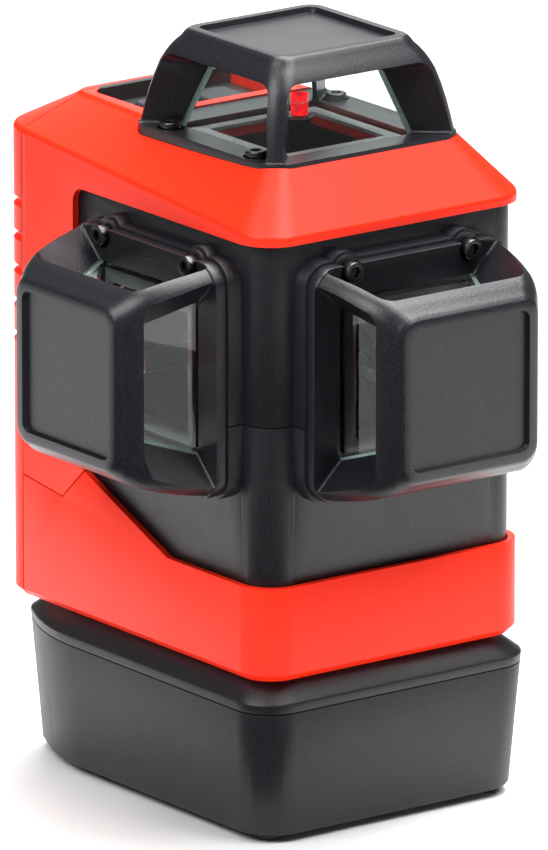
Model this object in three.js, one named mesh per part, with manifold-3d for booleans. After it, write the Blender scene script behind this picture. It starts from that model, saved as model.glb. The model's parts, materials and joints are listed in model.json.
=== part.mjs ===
// A self-levelling line laser with three 360 degree windows, on a swivel base.
// Millimetres, +Z up. The pieces are placed about the plumb axis, which the three
// window axes cross, and the whole group is then moved so that its origin lies at
// the middle of its footprint, on the surface that it stands on.
import * as THREE from 'three';
import { mergeVertices } from 'three/addons/utils/BufferGeometryUtils.js';
import Module from 'manifold-3d';

// ---- Driving dimensions ----
const GAP = 0.3;              // clearance between pieces that meet
const HALF = 43.4;            // plumb axis to the front, left and right faces
const REAR = 72.3;            // plumb axis to the rear face
const CORNER = 10.4;          // radius of the upright body corners
const SEAM_Y = 61.6;          // upright seam between the shells and the rear cover
const SEAM_Z = 111;           // level seam between the two housing halves

const BODY_BOTTOM = 43.6;
const BAND_TOP = 68.8;        // top edge of the red band on the front
const RIM_BOTTOM = 159.3;     // lower edge of the top shell
const RIM_TOP = 162;          // where the roof slope starts
const DECK = 177.3;           // flat top of the body
const DECK_FRONT = 30;        // half width of the deck at its front edge
const DECK_REAR = { half: 24, y: 64.5 };
const RIM_CLIMB = 9;          // how far the rim climbs from the front face to the rear
const RED_WALL = 1.9;
const ROOF_WALL = 2.4;

const HOUSING_INSET = 2.2;    // charcoal housing behind the red faces
const HOUSING_WALL = 2.4;

const CROSSING_Z = 122.2;     // height where the three window axes cross
const TOP_REACH = 49.2;       // from the crossing to the top window's datum
const COLLAR_TOP = 2.3;       // housing collar above a window's datum
const FLANGE_BOTTOM = COLLAR_TOP + GAP;
const FLANGE_TOP = 6;
const FLANGE_HALF = 31.2;
const FLANGE_CORNER = 6.5;
const PLATE_FACE = 30.8;      // outer face of a cage above its datum
const PLATE_RECESS = { half: 18.3, depth: 1.4 };
const WELL_HALF = 16.5;       // square opening under each window

const SCREW_SEAT = 3.7;
const SCREW = { head: 2.75, height: 3, socket: 1.44, pocket: 3.45 };   // an M3 socket head
const LOBE_RADIUS = 4;

const BASE_BOTTOM = 2;
const BASE_SPLIT = 35.6;      // parting line of the base
const BASE_SHOULDER = 38.2;
const BASE_TOP = BODY_BOTTOM - GAP;
const BASE_LIP = 1.4;         // how far the shoulder stands past the body faces
const BASE_REAR = 70;
const BASE_WALL = 2.6;
const TRIPOD = { radius: 7.94, depth: 12, boss: 12, face: 0.8 };   // a plain bore of 5/8 inch
const FEET = [[-35, -35], [35, -35], [26, 56], [-26, 56]];
const SPIGOT_NECK = 6;
const BAND_FLOOR = 2.4;       // thickness of the red band's floor
const HOUSING_FLOOR = BODY_BOTTOM + BAND_FLOOR + GAP;

// Side view of the seam between the top shell and the lower band, as [y, z].
const LEG_FRONT = 39;
const BAND_RISE = [-2, BAND_TOP];         // where the band's edge starts to climb
const BAND_PEAK = [34.2, 83.7];           // where that edge meets the leg's seam
const LEG_TOE = [44, 74.6];
const LEG_HEEL = [SEAM_Y, 76.7];

const KEYPAD = { half: 21.5, front: 35.5, rear: 60.2, floor: 171.2, plate: 173.9 };
const BUTTON = { halfX: 6, halfY: 6.5, y: 46, offset: 9, low: 172.3, high: 175.2 };
const LOCK = { y: -6, z: 90, half: 6, travel: 9 };
const BATTERY = { half: 28, front: 40, rear: 62, low: 60, high: 132 };
const DOOR = { half: 31, low: 56, high: 136, thickness: 3.8, gap: 0.4 };
const HINGE = { y: REAR - DOOR.thickness / 2, z: DOOR.low + DOOR.thickness / 2 };
const GRIP = { top: 150, pitch: 9.1, count: 5, depth: 1.3, height: 2.6 };
const DISC = { low: 61, high: 66, radius: 20 };
const MAGNET = { radius: 14, top: 57.5 };

const PIVOT_Z = 148;          // where the two gimbal axes cross
const PIN_RADIUS = 1.5;
const PIN_BORE = 1.8;
const MODULE_RADIUS = 6;
const MODULE_START = 8;       // from the crossing to the back of a laser module

const CORNER_STEPS = 4;       // facets in a rounded corner
const SCREW_SIDES = 10;

// ---- Materials ----
function material(color, roughness, metalness) {
  return new THREE.MeshStandardMaterial({ color, roughness, metalness });
}
const RED = 0xff3b2e;
const CHARCOAL = 0x37373d;
const BLACK = 0x1b1b1e;

// ---- Solids: three.js geometry in, three.js geometry out ----
const wasm = await Module();
wasm.setup();

function solidOf(geometry) {
  const bare = geometry.clone();
  bare.deleteAttribute('normal');
  bare.deleteAttribute('uv');
  const merged = mergeVertices(bare, 1e-4);
  return new wasm.Manifold(new wasm.Mesh({
    numProp: 3,
    vertProperties: Float32Array.from(merged.attributes.position.array),
    triVerts: Uint32Array.from(merged.index.array),
  }));
}

function geometryOf(solid) {
  const mesh = solid.getMesh();
  const geometry = new THREE.BufferGeometry();
  geometry.setAttribute('position', new THREE.BufferAttribute(mesh.vertProperties, 3));
  geometry.setIndex(new THREE.BufferAttribute(mesh.triVerts, 1));
  geometry.computeVertexNormals();
  return geometry;
}

function join(...solids) {
  return solids.reduce((whole, piece) => whole.add(piece));
}

function cut(solid, ...cutters) {
  return cutters.reduce((rest, cutter) => rest.subtract(cutter), solid);
}

function box(low, high) {
  const size = high.map((value, i) => value - low[i]);
  const geometry = new THREE.BoxGeometry(...size);
  geometry.translate(...low.map((value, i) => value + size[i] / 2));
  return solidOf(geometry);
}

// An upright cylinder from z0 to z1.
function rod(radius, z0, z1, segments = 24) {
  const geometry = new THREE.CylinderGeometry(radius, radius, z1 - z0, segments);
  geometry.rotateX(Math.PI / 2);
  geometry.translate(0, 0, (z0 + z1) / 2);
  return solidOf(geometry);
}

// A turned piece about Z. The profile is [radius, z] from the axis back to the axis.
function turned(profile, segments = 24) {
  const points = profile.map(([radius, z]) => new THREE.Vector2(radius, z));
  const geometry = new THREE.LatheGeometry(points, segments);
  geometry.rotateX(Math.PI / 2);
  return solidOf(geometry);
}

// Points round a convex polygon, anticlockwise. Each corner is [x, y, radius].
function roundedOutline(corners, steps = CORNER_STEPS) {
  const points = [];
  corners.forEach(([x, y, radius], i) => {
    const corner = new THREE.Vector2(x, y);
    const before = corners[(i + corners.length - 1) % corners.length];
    const after = corners[(i + 1) % corners.length];
    const back = new THREE.Vector2(before[0] - x, before[1] - y).normalize();
    const ahead = new THREE.Vector2(after[0] - x, after[1] - y).normalize();
    const halfAngle = Math.acos(back.dot(ahead)) / 2;
    const middle = back.clone().add(ahead).normalize();
    const centre = corner.clone().addScaledVector(middle, radius / Math.sin(halfAngle));
    const start = corner.clone().addScaledVector(back, radius / Math.tan(halfAngle));
    const startAngle = start.sub(centre).angle();
    const turn = Math.PI - 2 * halfAngle;
    for (let step = 0; step <= steps; step++) {
      const angle = startAngle + (turn * step) / steps;
      const spoke = new THREE.Vector2(Math.cos(angle), Math.sin(angle));
      points.push(centre.clone().addScaledVector(spoke, radius));
    }
  });
  return points;
}

function roundedSquare(half, radius, steps) {
  const corners = [[-half, -half], [half, -half], [half, half], [-half, half]];
  return roundedOutline(corners.map(([x, y]) => [x, y, radius]), steps);
}

// A closed body through outlines with the same number of points, lowest first. A level's
// height is a number, or a function of the point.
function loft(levels) {
  const count = levels[0].outline.length;
  const positions = [];
  for (const { z, outline } of levels) {
    const height = typeof z === 'function' ? z : () => z;
    for (const point of outline) {
      positions.push(point.x, point.y, height(point));
    }
  }
  const index = [];
  for (let level = 0; level < levels.length - 1; level++) {
    for (let i = 0; i < count; i++) {
      const low = level * count + i;
      const lowNext = level * count + ((i + 1) % count);
      index.push(low, lowNext, lowNext + count, low, lowNext + count, low + count);
    }
  }
  const last = (levels.length - 1) * count;
  for (const [a, b, c] of THREE.ShapeUtils.triangulateShape(levels[0].outline, [])) {
    index.push(a, c, b);
  }
  for (const [a, b, c] of THREE.ShapeUtils.triangulateShape(levels.at(-1).outline, [])) {
    index.push(last + a, last + b, last + c);
  }
  const geometry = new THREE.BufferGeometry();
  geometry.setAttribute('position', new THREE.Float32BufferAttribute(positions, 3));
  geometry.setIndex(index);
  return solidOf(geometry);
}

// Turns a shape drawn in (x, y) and raised along z into one in (y, z) raised along x.
const SIDEWAYS = new THREE.Matrix4().makeBasis(
  new THREE.Vector3(0, 1, 0),
  new THREE.Vector3(0, 0, 1),
  new THREE.Vector3(1, 0, 0),
);

// A slab right across the body whose side view is a shape in (y, z).
function acrossBody(shape) {
  const width = 4 * HALF;
  const geometry = new THREE.ExtrudeGeometry(shape, {
    depth: width,
    bevelEnabled: false,
    curveSegments: CORNER_STEPS,
  });
  geometry.applyMatrix4(SIDEWAYS);
  geometry.translate(-width / 2, 0, 0);
  return solidOf(geometry);
}

// ---- Windows: where each cage sits ----
// A window's own frame has +Z outward along its axis, from a datum at the red faces.
// The screws are on its +Y side, and on the top window on its -Y side as well.
const X = new THREE.Vector3(1, 0, 0);
const Z = new THREE.Vector3(0, 0, 1);
const SIDE_SCREWS = { u: 19, rows: [29.2] };
const WINDOWS = [
  { name: 'top', out: Z, screwSide: X, reach: TOP_REACH, screws: { u: 18.5, rows: [-27, 27] } },
  { name: 'front', out: new THREE.Vector3(0, -1, 0), screwSide: Z, reach: HALF, screws: SIDE_SCREWS },
  { name: 'side', out: new THREE.Vector3(-1, 0, 0), screwSide: Z, reach: HALF, screws: SIDE_SCREWS },
];
const CROSSING = new THREE.Vector3(0, 0, CROSSING_Z);

function windowMatrix({ out, screwSide, reach }) {
  const across = new THREE.Vector3().crossVectors(screwSide, out);
  const matrix = new THREE.Matrix4().makeBasis(across, screwSide, out);
  return matrix.setPosition(CROSSING.clone().addScaledVector(out, reach));
}

function atWindow(place, solid) {
  return solid.transform(windowMatrix(place).toArray());
}

function screwPlaces({ screws }) {
  return screws.rows.flatMap((v) => [[-screws.u, v], [screws.u, v]]);
}

function atScrews(place, makeSolid) {
  return join(...screwPlaces(place).map(([u, v]) => makeSolid().translate(u, v, 0)));
}

// A square with rounded corners and a round lobe at each screw.
function lobedPlate(place, grow, z0, z1) {
  const square = roundedSquare(FLANGE_HALF + grow, FLANGE_CORNER + grow);
  const plate = loft([{ z: z0, outline: square }, { z: z1, outline: square }]);
  return join(plate, atScrews(place, () => rod(LOBE_RADIUS + grow, z0, z1, SCREW_SIDES)));
}

// ---- Cages ----
const GLASS_FOOT = 23;                  // outer size of the glass at the flange
const GLASS_HEAD = 15.2;                // and under the plate
const GLASS_TOP = 26.3;
const GLASS_LEAN = (GLASS_FOOT - GLASS_HEAD) / (GLASS_TOP - FLANGE_BOTTOM);
const GLASS_THICKNESS = 2.5;            // measured level, not square to the pane

// A square frustum whose four slanting edges are cut off flat.
function frustum(footHalf, footZ, headHalf, headZ, radius) {
  return loft([
    { z: footZ, outline: roundedSquare(footHalf, radius, 1) },
    { z: headZ, outline: roundedSquare(headHalf, radius, 1) },
  ]);
}

// A side window's opening, wider outside than at the glass, on the +X side.
function windowOpening() {
  const inner = { x: 12, bottom: 4.4, bottomHalf: 10.8, top: 20.6, topHalf: 10.4 };
  const outer = { x: 40, bottom: 6, bottomHalf: 36.3, top: 28.6, topHalf: 34.4 };
  const radius = 1.2;
  const section = ({ bottom, bottomHalf, top, topHalf }) => roundedOutline([
    [-bottomHalf, bottom, radius],
    [bottomHalf, bottom, radius],
    [topHalf, top, radius],
    [-topHalf, top, radius],
  ], 1);
  const cutter = loft([
    { z: inner.x, outline: section(inner) },
    { z: outer.x, outline: section(outer) },
  ]);
  return cutter.transform(SIDEWAYS.toArray());
}

// The outside of a cage, as [height, half width, corner radius] from the flange up.
const CAGE_PROFILE = [
  [FLANGE_BOTTOM, FLANGE_HALF, FLANGE_CORNER],
  [FLANGE_TOP - 0.8, FLANGE_HALF, FLANGE_CORNER],
  [FLANGE_TOP, 30.7, 6.4],
  [14, 29.2, 6.2],
  [22, 27, 5.8],
  [26, 25, 5.6],
  [28.6, 23, 5.5],
  [30, 22, 5],
  [PLATE_FACE, 21, 4.2],
];

function cage(place) {
  const outline = (half, radius) => roundedSquare(half, radius, 3);
  const levels = CAGE_PROFILE.map(([z, half, radius]) => ({ z, outline: outline(half, radius) }));
  const lobes = atScrews(place, () => rod(LOBE_RADIUS, FLANGE_BOTTOM, SCREW_SEAT, SCREW_SIDES));
  const inside = frustum(
    GLASS_FOOT + GAP + GLASS_LEAN * FLANGE_BOTTOM,
    0,
    GLASS_HEAD + GAP - GLASS_LEAN * GAP,
    GLASS_TOP + GAP,
    0.6,
  );
  const recess = loft([
    { z: PLATE_FACE - PLATE_RECESS.depth, outline: outline(PLATE_RECESS.half, 2) },
    { z: PLATE_FACE + 1, outline: outline(PLATE_RECESS.half + 0.8, 2.8) },
  ]);
  const openings = [0, 90, 180, 270].map((turn) => windowOpening().rotate(0, 0, turn));
  const shanks = atScrews(place, () => rod(PIN_BORE, 0, 10, 6));
  const heads = atScrews(place, () => rod(SCREW.pocket, SCREW_SEAT, 12, SCREW_SIDES));
  return cut(join(loft(levels), lobes), inside, recess, ...openings, shanks, heads);
}

// One pane: a leaning trapezium of plate glass with mitred ends, on the +X side.
function pane() {
  const mitre = 0.2;
  const low = FLANGE_BOTTOM;
  const corners = [
    [GLASS_FOOT, low],
    [GLASS_FOOT - GLASS_THICKNESS, low],
    [GLASS_HEAD - GLASS_THICKNESS, GLASS_TOP],
    [GLASS_HEAD, GLASS_TOP],
  ];
  const positions = [];
  for (const side of [1, -1]) {
    for (const [x, z] of corners) {
      positions.push(x, side * (x - mitre), z);
    }
  }
  const index = [
    0, 1, 2, 0, 2, 3, 4, 6, 5, 4, 7, 6,
    0, 5, 1, 0, 4, 5, 1, 6, 2, 1, 5, 6,
    2, 7, 3, 2, 6, 7, 3, 4, 0, 3, 7, 4,
  ];
  const geometry = new THREE.BufferGeometry();
  geometry.setAttribute('position', new THREE.Float32BufferAttribute(positions, 3));
  geometry.setIndex(index);
  return solidOf(geometry);
}

function windowRing() {
  const square = (half) => roundedSquare(half, 0.8, 2);
  const outer = square(19.25);
  const inner = square(15.65);
  const low = FLANGE_BOTTOM;
  const high = FLANGE_BOTTOM + 1;
  return cut(
    loft([{ z: low, outline: outer }, { z: high, outline: outer }]),
    loft([{ z: low - 1, outline: inner }, { z: high + 1, outline: inner }]),
  );
}

function cageScrew() {
  const seat = SCREW_SEAT + GAP;
  const top = seat + SCREW.height;
  const edge = 0.35;
  const profile = [
    [0, seat],
    [SCREW.head, seat],
    [SCREW.head, top - edge],
    [SCREW.head - edge, top],
    [0, top],
  ];
  const shank = rod(PIN_RADIUS, -3, seat + 0.5, 6);
  const socket = rod(SCREW.socket, top - SCREW.height / 2, top + 1, 6);
  return cut(join(turned(profile, SCREW_SIDES), shank), socket);
}

// ---- Body shells ----
function bodyOutline(grow, radius = CORNER) {
  const side = HALF + grow;
  const rear = REAR + grow;
  return roundedOutline([
    [-side, -side, radius],
    [side, -side, radius],
    [side, rear, radius],
    [-side, rear, radius],
  ]);
}

// The flat top, narrower at the rear.
function deckOutline(grow, radius) {
  const front = DECK_FRONT + grow;
  const rearHalf = DECK_REAR.half + grow;
  const rear = DECK_REAR.y + grow;
  return roundedOutline([
    [-front, -front, radius],
    [front, -front, radius],
    [rearHalf, rear, radius],
    [-rearHalf, rear, radius],
  ]);
}

// A rim level's height, which climbs from the front face to the rear.
function climbing(z) {
  return ({ y }) => z + (RIM_CLIMB * (y + HALF)) / (REAR + HALF);
}

// The whole outside of the red body, from the chamfered bottom to the deck.
function redBody() {
  return loft([
    { z: BODY_BOTTOM, outline: bodyOutline(-2, CORNER - 2) },
    { z: BODY_BOTTOM + 2, outline: bodyOutline(0) },
    { z: climbing(RIM_TOP - 1.4), outline: bodyOutline(0) },
    { z: climbing(RIM_TOP), outline: bodyOutline(-0.6, CORNER) },
    { z: DECK - 0.9, outline: deckOutline(0.9, 5) },
    { z: DECK, outline: deckOutline(-0.3, 4.2) },
  ]);
}

// The space inside the red shells: upright walls, then the roof's underside.
function redHollow(floor) {
  return loft([
    { z: floor, outline: bodyOutline(-RED_WALL, CORNER - RED_WALL) },
    { z: RIM_TOP - 0.9, outline: bodyOutline(-RED_WALL, CORNER - RED_WALL) },
    { z: DECK - ROOF_WALL, outline: deckOutline(-1.6, 3) },
  ]);
}

// Side view of what belongs to the top shell, down to its leg's lower seam.
function topShellSide() {
  const up = 0.4;
  const round = 4;
  const shape = new THREE.Shape();
  shape.moveTo(-2 * HALF, RIM_BOTTOM);
  shape.lineTo(LEG_FRONT - round, RIM_BOTTOM);
  shape.absarc(LEG_FRONT - round, RIM_BOTTOM - round, round, Math.PI / 2, 0, true);
  shape.lineTo(LEG_FRONT, BAND_PEAK[1] + 2);
  shape.lineTo(BAND_PEAK[0] + 0.3, BAND_PEAK[1] + up);
  shape.lineTo(LEG_TOE[0], LEG_TOE[1] + up);
  shape.lineTo(SEAM_Y - GAP / 2, LEG_HEEL[1] + up);
  shape.lineTo(SEAM_Y - GAP / 2, DECK + 20);
  shape.lineTo(-2 * HALF, DECK + 20);
  shape.closePath();
  return acrossBody(shape);
}

function lowerBandSide() {
  const shape = new THREE.Shape();
  shape.moveTo(-2 * HALF, BODY_BOTTOM - 1);
  shape.lineTo(SEAM_Y - GAP / 2, BODY_BOTTOM - 1);
  shape.lineTo(SEAM_Y - GAP / 2, LEG_HEEL[1]);
  shape.lineTo(...LEG_TOE);
  shape.lineTo(...BAND_PEAK);
  shape.lineTo(...BAND_RISE);
  shape.lineTo(-2 * HALF, BAND_TOP);
  shape.closePath();
  return acrossBody(shape);
}

function topShell() {
  const outer = redBody();
  const datum = CROSSING_Z + TOP_REACH;
  const topWindow = WINDOWS[0];
  const pocketFloor = datum + COLLAR_TOP;
  const tubs = join(
    box([-34, -34, pocketFloor - ROOF_WALL], [34, 34, DECK]),
    box([-24, 33, KEYPAD.floor - 2], [24, SEAM_Y, DECK]),
  ).intersect(outer);
  const shell = join(cut(outer, redHollow(BODY_BOTTOM - 5)), tubs);
  const pocket = lobedPlate(topWindow, 0.2, COLLAR_TOP, 12);
  const shanks = atScrews(topWindow, () => rod(PIN_BORE, -4, 4, 6));
  const well = box([-WELL_HALF, -WELL_HALF, -4], [WELL_HALF, WELL_HALF, 4]);
  const valley = loft([
    { z: KEYPAD.floor, outline: keypadOutline(0, 3) },
    { z: DECK + 5, outline: keypadOutline(1, 4) },
  ]);
  const cutters = [pocket, shanks, well].map((cutter) => atWindow(topWindow, cutter));
  return cut(shell, ...cutters, valley).intersect(topShellSide());
}

function lowerBand() {
  const shell = cut(redBody(), redHollow(BODY_BOTTOM + BAND_FLOOR));
  const neck = rod(SPIGOT_NECK + GAP, BODY_BOTTOM - 1, HOUSING_FLOOR);
  return cut(shell, neck).intersect(lowerBandSide());
}

// The charcoal housing: a tub with collars where the front and side cages sit.
function housing() {
  const outline = (grow) => roundedOutline([
    [-HALF - grow, -HALF - grow, CORNER + grow],
    [HALF + grow, -HALF - grow, CORNER + grow],
    [HALF + grow, SEAM_Y + grow, 4],
    [-HALF - grow, SEAM_Y + grow, 4],
  ]);
  const inner = outline(-HOUSING_INSET - HOUSING_WALL);
  const outer = outline(-HOUSING_INSET);
  const floor = HOUSING_FLOOR;
  const top = RIM_TOP - 1.3;
  const tub = cut(
    loft([{ z: floor, outline: outer }, { z: top, outline: outer }]),
    loft([{ z: floor + HOUSING_WALL, outline: inner }, { z: top + 5, outline: inner }]),
  );
  const well = () => box([-WELL_HALF, -WELL_HALF, -10], [WELL_HALF, WELL_HALF, 10]);
  const sides = WINDOWS.slice(1);
  const collars = sides.map((place) => atWindow(place, lobedPlate(place, 0.8, -3, COLLAR_TOP)));
  const wells = sides.map((place) => atWindow(place, well()));
  const shank = () => rod(PIN_BORE, -6, 4, 6);
  const shanks = sides.map((place) => atWindow(place, atScrews(place, shank)));
  const batteryBay = box(
    [-BATTERY.half - 1, 50, BATTERY.low - 1],
    [BATTERY.half + 1, REAR, BATTERY.high + 1],
  );
  const neck = rod(SPIGOT_NECK + GAP, floor - 1, floor + 5);
  return cut(join(tub, ...collars), ...wells, ...shanks, batteryBay, neck, lockSlot());
}

function housingLower() {
  return cut(housing(), box([-99, -99, SEAM_Z - GAP / 2], [99, 99, 250]));
}

function housingUpper() {
  return cut(housing(), box([-99, -99, 0], [99, 99, SEAM_Z + GAP / 2]));
}

// ---- Rear cover, battery door and battery ----
function gripGroove(z) {
  const slab = box([-60, SEAM_Y, z - GRIP.height / 2], [60, 90, z + GRIP.height / 2]);
  const levels = [
    { z: z - GRIP.height / 2 - 0.1, outline: bodyOutline(0.1) },
    { z, outline: bodyOutline(-GRIP.depth, CORNER - GRIP.depth) },
    { z: z + GRIP.height / 2 + 0.1, outline: bodyOutline(0.1) },
  ];
  const middle = box([-33.5, SEAM_Y - 1, z - 5], [33.5, 90, z + 5]);
  return cut(slab, loft(levels), middle);
}

function rearCover() {
  const wall = 2.4;
  const hollow = loft([
    { z: BODY_BOTTOM + wall, outline: bodyOutline(-wall, CORNER - wall) },
    { z: RIM_TOP - 1, outline: bodyOutline(-wall, CORNER - wall) },
    { z: DECK - wall, outline: deckOutline(-2, 3) },
  ]);
  const front = box([-99, -99, 0], [99, SEAM_Y + GAP / 2, 250]);
  const shell = cut(redBody(), hollow);
  const frame = box(
    [-DOOR.half - 3, REAR - 6, DOOR.low - 3],
    [DOOR.half + 3, REAR - 1, DOOR.high + 3],
  );
  const doorway = box(
    [-DOOR.half - DOOR.gap, SEAM_Y - 5, DOOR.low - DOOR.gap],
    [DOOR.half + DOOR.gap, REAR + 1, DOOR.high + DOOR.gap],
  );
  const pinHoles = alongX(rod(1.1, -34, 34, 8)).translate(0, HINGE.y, HINGE.z);
  const grooves = [];
  for (let i = 0; i < GRIP.count; i++) {
    grooves.push(gripGroove(GRIP.top - i * GRIP.pitch));
  }
  return cut(join(shell, frame), front, doorway, pinHoles, ...grooves);
}

function alongX(solid) {
  return solid.rotate(0, 90, 0);
}

function batteryDoor() {
  const radius = DOOR.thickness / 2;
  const slab = box([-DOOR.half, REAR - DOOR.thickness, HINGE.z], [DOOR.half, REAR, DOOR.high]);
  const barrel = alongX(rod(radius, -DOOR.half, DOOR.half, 12)).translate(0, HINGE.y, HINGE.z);
  const pivots = alongX(rod(0.8, -DOOR.half - 2.4, DOOR.half + 2.4, 8)).translate(0, HINGE.y, HINGE.z);
  const fingerNotch = box([-9, REAR - 1.6, DOOR.high - 7], [9, REAR + 1, DOOR.high + 1]);
  return cut(join(slab, barrel, pivots), fingerNotch);
}

function batteryPack() {
  const outline = roundedOutline([
    [-BATTERY.half, BATTERY.front, 3],
    [BATTERY.half, BATTERY.front, 3],
    [BATTERY.half, BATTERY.rear, 3],
    [-BATTERY.half, BATTERY.rear, 3],
  ], 3);
  return loft([{ z: BATTERY.low, outline }, { z: BATTERY.high, outline }]);
}

// ---- Keypad ----
function keypadOutline(grow, radius) {
  return roundedOutline([
    [-KEYPAD.half - grow, KEYPAD.front - grow, radius],
    [KEYPAD.half + grow, KEYPAD.front - grow, radius],
    [KEYPAD.half + grow, KEYPAD.rear, radius],
    [-KEYPAD.half - grow, KEYPAD.rear, radius],
  ], 3);
}

function buttonOutline(grow) {
  return roundedOutline([
    [-BUTTON.halfX - grow, -BUTTON.halfY - grow, 3],
    [BUTTON.halfX + grow, -BUTTON.halfY - grow, 3],
    [BUTTON.halfX + grow, BUTTON.halfY + grow, 3],
    [-BUTTON.halfX - grow, BUTTON.halfY + grow, 3],
  ], 3);
}

function button() {
  return loft([
    { z: BUTTON.low, outline: buttonOutline(0) },
    { z: BUTTON.high - 0.6, outline: buttonOutline(0) },
    { z: BUTTON.high, outline: buttonOutline(-0.8) },
  ]);
}

function keypadBezel() {
  const low = KEYPAD.floor + GAP;
  const rimTop = DECK + 0.9;
  const block = loft([
    { z: low, outline: keypadOutline(-GAP, 3 - GAP) },
    { z: rimTop, outline: keypadOutline(-GAP, 3 - GAP) },
  ]).translate(0, -GAP, 0);
  const rim = 2.8;
  const bed = box([-40, 20, KEYPAD.plate], [40, KEYPAD.rear - rim, rimTop + 1]);
  const holes = [-1, 1].map((side) => loft([
    { z: low - 1, outline: buttonOutline(GAP) },
    { z: KEYPAD.plate + 1, outline: buttonOutline(GAP) },
  ]).translate(side * BUTTON.offset, BUTTON.y, 0));
  return cut(block, bed, ...holes);
}

// ---- Pendulum lock switch, on the right-hand face ----
function lockSlot() {
  const low = [HALF - 10, LOCK.y - 3 - GAP, LOCK.z - 2 - GAP];
  const high = [HALF + 5, LOCK.y + 3 + GAP + LOCK.travel, LOCK.z + 2 + GAP];
  return box(low, high);
}

function lockSwitch() {
  const face = HALF - HOUSING_INSET;
  const knob = box(
    [face + GAP, LOCK.y - LOCK.half, LOCK.z - 4],
    [face + 2.4, LOCK.y + LOCK.half, LOCK.z + 4],
  );
  const stem = box([face - 6, LOCK.y - 3, LOCK.z - 2], [face + 1, LOCK.y + 3, LOCK.z + 2]);
  const ridges = [-4, -2, 0, 2, 4].map((step) => box(
    [face + 1.9, LOCK.y + step - 0.4, LOCK.z - 5],
    [face + 4, LOCK.y + step + 0.4, LOCK.z + 5],
  ));
  return cut(join(knob, stem), ...ridges);
}

// ---- Gimbal, pendulum and lasers ----
function alongY(solid) {
  return solid.rotate(90, 0, 0);
}

function gimbalYoke() {
  const inside = HALF - HOUSING_INSET - HOUSING_WALL - GAP;
  const outline = roundedSquare(inside, 6);
  const plate = loft([{ z: PIVOT_Z + 4, outline }, { z: PIVOT_Z + 7, outline }]);
  const lug = () => box([-2, -4, PIVOT_Z - 4], [2, 4, PIVOT_Z + 6]);
  const lugs = [-1, 1].map((side) => lug().translate(side * 31, 0, 0));
  const opening = rod(29, PIVOT_Z, PIVOT_Z + 10);
  const bore = alongX(rod(PIN_BORE, -40, 40, 8)).translate(0, 0, PIVOT_Z);
  return cut(join(cut(plate, opening), ...lugs), bore);
}

function gimbalRing() {
  const ring = cut(rod(26, PIVOT_Z - 2.5, PIVOT_Z + 2.5), rod(19, PIVOT_Z - 5, PIVOT_Z + 5));
  const pin = () => alongX(rod(PIN_RADIUS, -4, 4, 8));
  const pins = [-1, 1].map((side) => pin().translate(side * 28.5, 0, PIVOT_Z));
  const bore = alongY(rod(PIN_BORE, -40, 40, 8)).translate(0, 0, PIVOT_Z);
  return cut(join(ring, ...pins), bore);
}

function moduleBore(place) {
  const bore = rod(MODULE_RADIUS + GAP, MODULE_START - GAP - place.reach, 10, 12);
  return atWindow(place, bore);
}

function pendulumFrame() {
  const block = box([-12, -12, CROSSING_Z - 18], [12, 12, CROSSING_Z + 18]);
  const neck = rod(9.5, CROSSING_Z + 17, PIVOT_Z + 5, 16);
  const stem = box([-5, -5, DISC.high + GAP], [5, 5, CROSSING_Z - 17]);
  const pin = alongY(rod(PIN_RADIUS, -23.5, 23.5, 8)).translate(0, 0, PIVOT_Z);
  return cut(join(block, neck, stem, pin), ...WINDOWS.map(moduleBore));
}

function laserModule({ reach }) {
  const step = -9;
  return turned([
    [0, MODULE_START - reach],
    [MODULE_RADIUS, MODULE_START - reach],
    [MODULE_RADIUS, step],
    [3, step],
    [3, 7.4],
    [3.6, 7.7],
    [3.6, 8.3],
    [0, 8.3],
  ], 12);
}

function conePrism() {
  return turned([[0, 8.6], [2.3, 8.6], [2.3, 14], [0, 11.7]], 12);
}

function dampingDisc() {
  return rod(DISC.radius, DISC.low, DISC.high);
}

function dampingMagnet() {
  return rod(MAGNET.radius, HOUSING_FLOOR + HOUSING_WALL + GAP, MAGNET.top);
}

function mainBoard() {
  return box([33, -28, 58], [34.6, 28, 142]);
}

// ---- Base ----
function baseOutline(grow) {
  const side = HALF + grow;
  const rear = BASE_REAR + grow;
  const turn = 50 + grow;                // where the side bends in towards the rear
  const bend = THREE.MathUtils.degToRad(26);
  const rearHalf = side - (rear - turn) * Math.tan(bend);
  return roundedOutline([
    [-side, -side, 11],
    [side, -side, 11],
    [side, turn, 54],
    [rearHalf, rear, 8],
    [-rearHalf, rear, 8],
    [-side, turn, 54],
  ]);
}

// The base wall leans out from the foot to the shoulder.
function baseGrow(z) {
  const foot = -0.9;
  const share = (z - BASE_BOTTOM) / (BASE_SHOULDER - BASE_BOTTOM);
  return foot + share * (BASE_LIP - foot);
}

function baseTray() {
  const split = BASE_SPLIT - GAP / 2;
  const floor = BASE_BOTTOM + BASE_WALL;
  const outer = loft([
    { z: BASE_BOTTOM, outline: baseOutline(baseGrow(BASE_BOTTOM) - 0.8) },
    { z: BASE_BOTTOM + 0.9, outline: baseOutline(baseGrow(BASE_BOTTOM + 0.9)) },
    { z: split, outline: baseOutline(baseGrow(split)) },
  ]);
  const inner = loft([
    { z: floor, outline: baseOutline(baseGrow(floor) - BASE_WALL) },
    { z: split + 1, outline: baseOutline(baseGrow(split + 1) - BASE_WALL) },
  ]);
  const boss = rod(TRIPOD.boss, TRIPOD.face, BASE_BOTTOM + TRIPOD.depth + BASE_WALL, 16);
  const bore = rod(TRIPOD.radius, 0, BASE_BOTTOM + TRIPOD.depth, 20);
  const sockets = FEET.map(([x, y]) => rod(2.3, 0, 10, 8).translate(x, y, 0));
  return cut(join(cut(outer, inner), boss), bore, ...sockets);
}

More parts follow.
